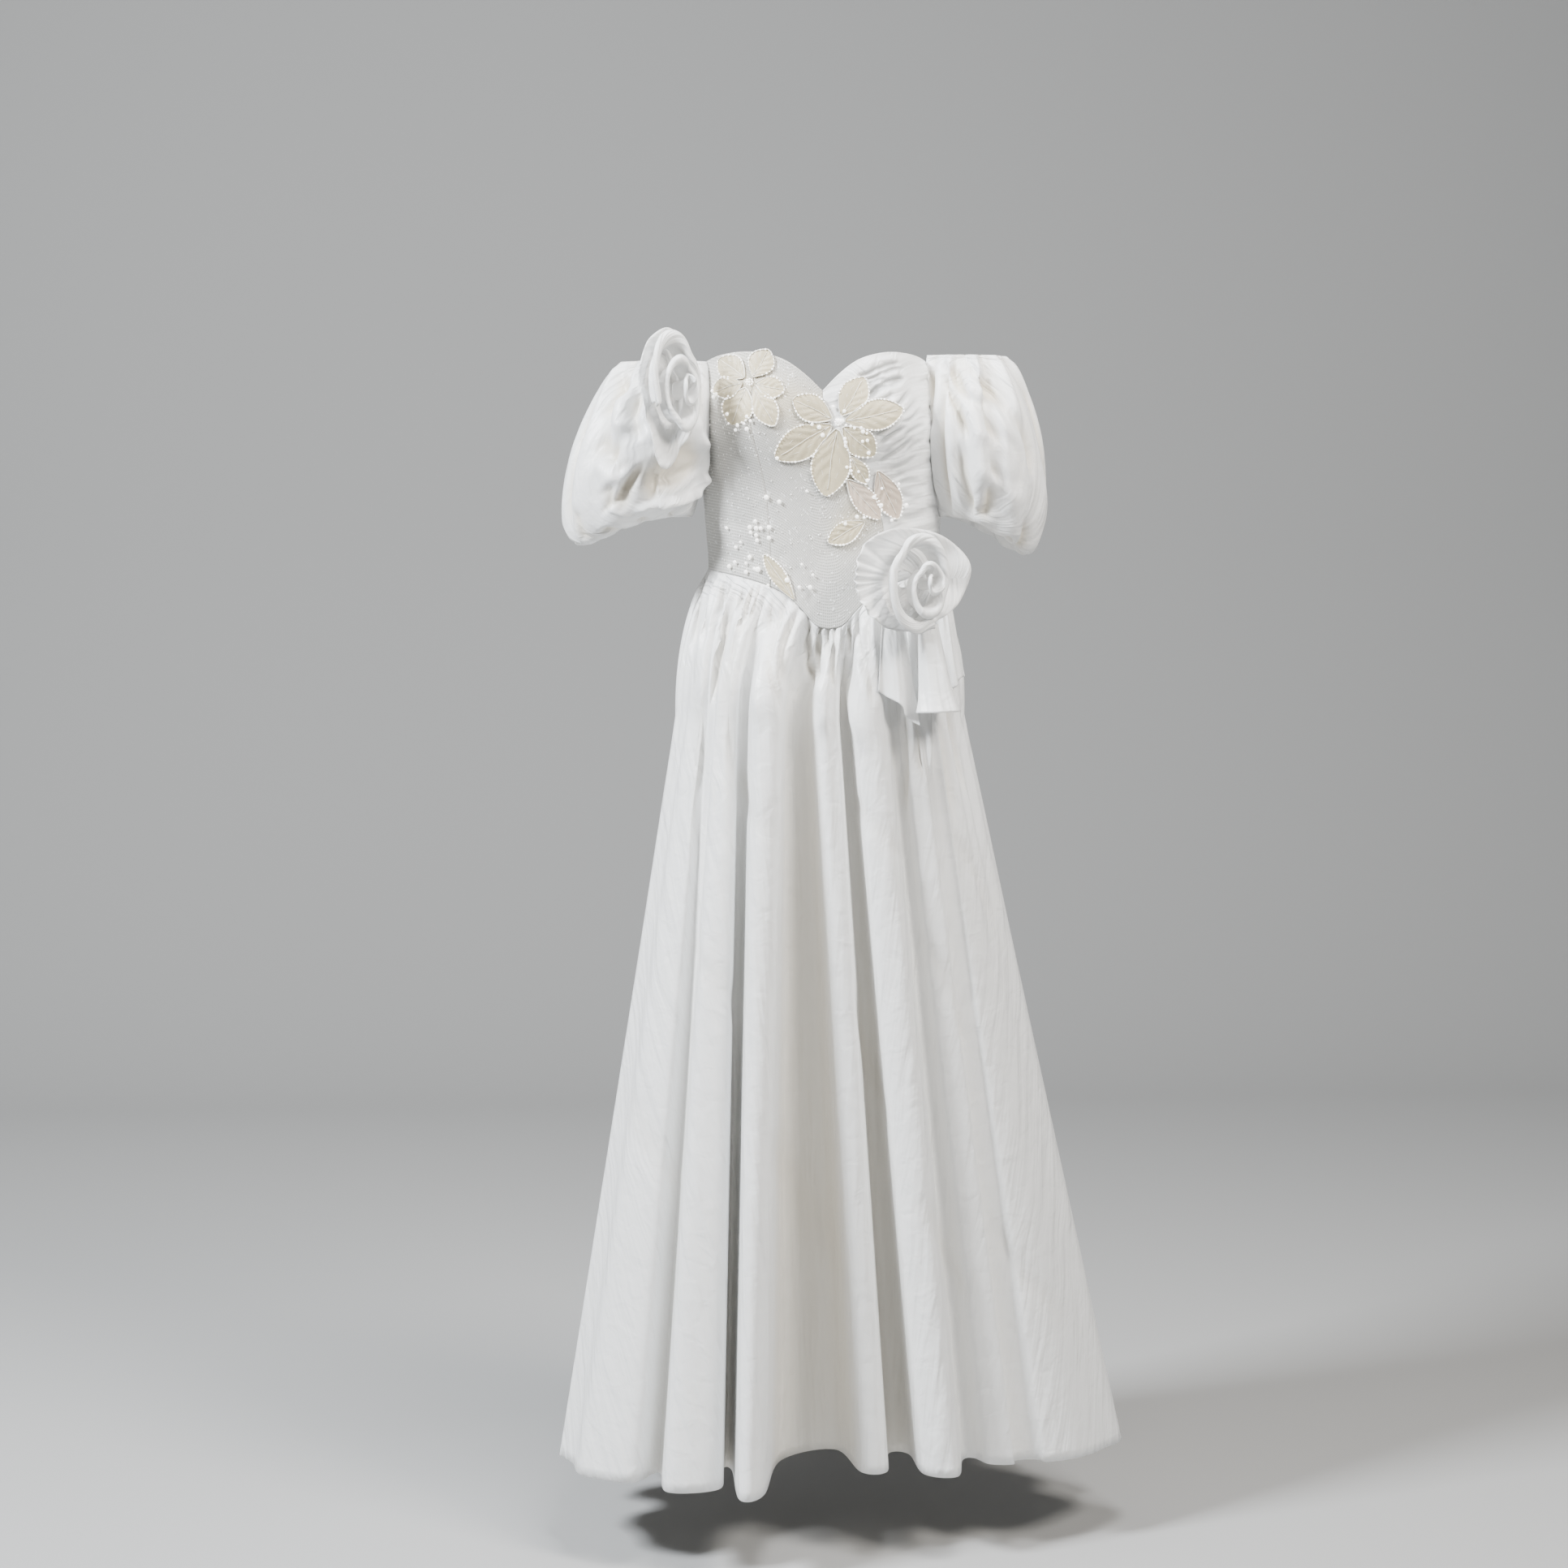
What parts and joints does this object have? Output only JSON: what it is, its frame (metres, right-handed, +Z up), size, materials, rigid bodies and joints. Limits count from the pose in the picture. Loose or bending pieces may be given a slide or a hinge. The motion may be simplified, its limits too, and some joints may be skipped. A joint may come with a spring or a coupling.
{
  "type": "wedding dress",
  "caption": "Floor-length satin gown with a sweetheart neckline, puffed off-the-shoulder sleeves, pointed waist, gathered skirt, fabric roses and sewn flowers.",
  "frame": {"origin": "middle of the waist, in the hollow of the gown, where it is held when it is worn", "axes": "+Z up, the front of the gown faces -Y, the wearer's left is +X"},
  "size_m": [0.6786, 0.5122, 1.3235],
  "materials": {
    "satin": "white bridal satin with a soft sheen",
    "sequinned_lace": "white lace over satin, sewn all over with small clear sequins",
    "organza": "champagne organza, edged with cord and beads",
    "beading": "a cluster of pearly beads",
    "zip_tape": "white woven tape with nylon teeth",
    "zip_metal": "white-lacquered zinc, worn bright"
  },
  "bodies": {
    "dress": {"bodice_back_left": "sequinned_lace", "bodice_back_right": "sequinned_lace", "bodice_drape_left": "satin", "bodice_front": "sequinned_lace", "bodice_side_right": "sequinned_lace", "flower_middle_centre": "beading", "flower_middle_petal_1": "organza", "flower_middle_petal_2": "organza", "flower_middle_petal_3": "organza", "flower_middle_petal_4": "organza", "flower_middle_petal_5": "organza", "flower_middle_petal_6": "organza", "flower_upper_centre": "beading", "flower_upper_petal_1": "organza", "flower_upper_petal_2": "organza", "flower_upper_petal_3": "organza", "flower_upper_petal_4": "organza", "flower_upper_petal_5": "organza", "flower_upper_petal_6": "organza", "hip_fold_inner": "satin", "hip_fold_outer": "satin", "hip_fold_rolled": "satin", "leaf_1": "organza", "leaf_2": "organza", "leaf_3": "organza", "leaf_4": "organza", "leaf_at_waist": "organza", "rose_hip_coil": "satin", "rose_hip_ruffle": "satin", "rose_sleeve_coil": "satin", "rose_sleeve_ruffle": "satin", "skirt_back_left": "satin", "skirt_back_right": "satin", "skirt_front": "satin", "sleeve_left": "satin", "sleeve_right": "satin", "zip": "zip_tape", "zip_slider": "zip_metal"},
    "zip_pull": {"zip_pull": "zip_metal"}
  },
  "joints": [
    {"name": "zip_pull_hinge", "type": "hinge", "parent": "dress", "child": "zip_pull", "pos_m": [0, 0.09993, 0.1882], "axis": [1, 0, 0], "range_deg": [0, 170]}
  ]
}
